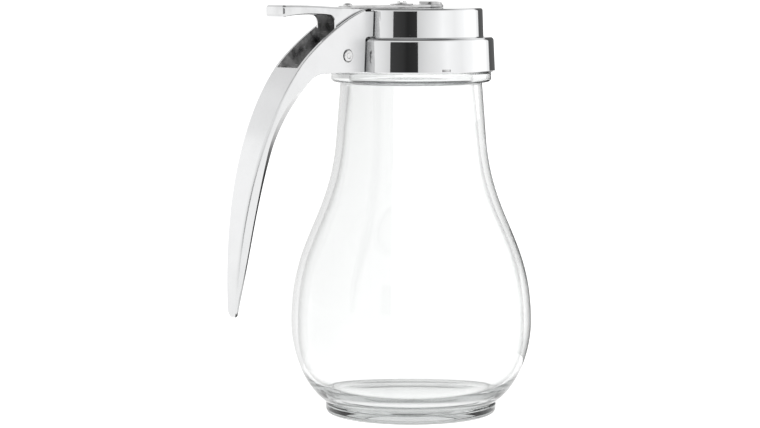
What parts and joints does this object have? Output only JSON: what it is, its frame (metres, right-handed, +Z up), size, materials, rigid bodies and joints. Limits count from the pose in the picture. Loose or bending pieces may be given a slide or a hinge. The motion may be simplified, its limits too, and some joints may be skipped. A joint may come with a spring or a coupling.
{
  "type": "syrup dispenser",
  "caption": "Teardrop glass jar with a stepped chrome cap, a curved handle and a thumb lever that slides a shutter off the pour hole.",
  "frame": {"origin": "middle of the flat foot that the jar stands on", "axes": "+Z up along the jar's axis, -X towards the handle, +X towards the pour hole, Y across the handle"},
  "size_m": [0.1343, 0.0896, 0.1528],
  "materials": {
    "glass": "clear pressed soda-lime glass, fire polished",
    "chrome": "bright chrome plate on cast metal",
    "fastener": "bright plated steel, turned"
  },
  "bodies": {
    "dispenser": {"jar": "glass", "cap": "chrome", "handle": "chrome", "cross_pin": "fastener", "guide_screw": "fastener"},
    "slide": {"thumb_lever": "chrome", "shutter": "chrome", "lever_rivet": "fastener"}
  },
  "joints": [
    {"name": "shutter_slide", "type": "slide", "parent": "dispenser", "child": "slide", "axis": [-1, 0, 0], "range_m": [0, 0.0065], "stiffness_N_per_m": 460, "springref_m": -0.006}
  ]
}
